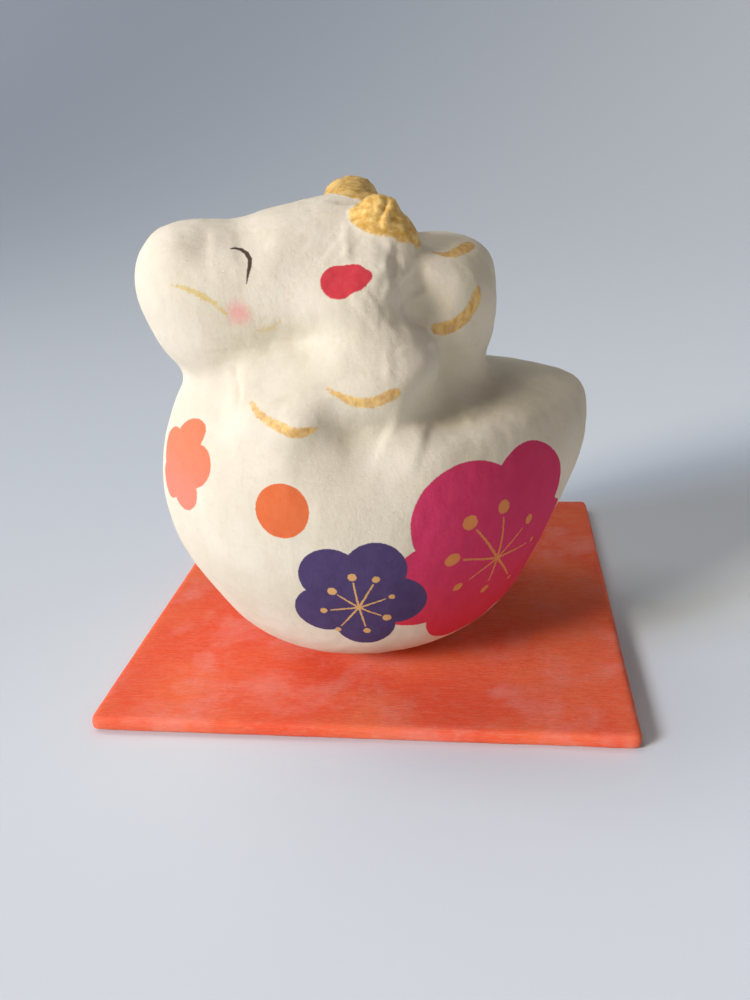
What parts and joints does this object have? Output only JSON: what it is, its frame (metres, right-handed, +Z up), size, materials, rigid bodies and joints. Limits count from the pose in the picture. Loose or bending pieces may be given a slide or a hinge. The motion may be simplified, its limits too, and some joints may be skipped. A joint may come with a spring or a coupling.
{
  "type": "papier-mache dragon figurine",
  "caption": "Small papier-mache dragon with gold horns and painted plum blossoms, sitting turned on a square paper-covered display board.",
  "frame": {"origin": "centre of the square board's underside, on the surface the ornament stands on", "axes": "+Z up; the board's sides run along X and Y, and its front edge is at -Y; the dragon looks towards -X, turned 20 degrees towards the front"},
  "size_m": [0.09, 0.09, 0.0832],
  "materials": {
    "washi_white": "warm white fibrous washi paper over papier-mache, matt, with painted plum blossoms in coral, crimson and dark blue and strokes and horns in gold",
    "washi_red": "thick card covered with vermilion washi paper, matt, with visible fibres and paler clouds"
  },
  "bodies": {
    "root": {"dragon_figure": "washi_white", "display_board": "washi_red"}
  },
  "joints": []
}
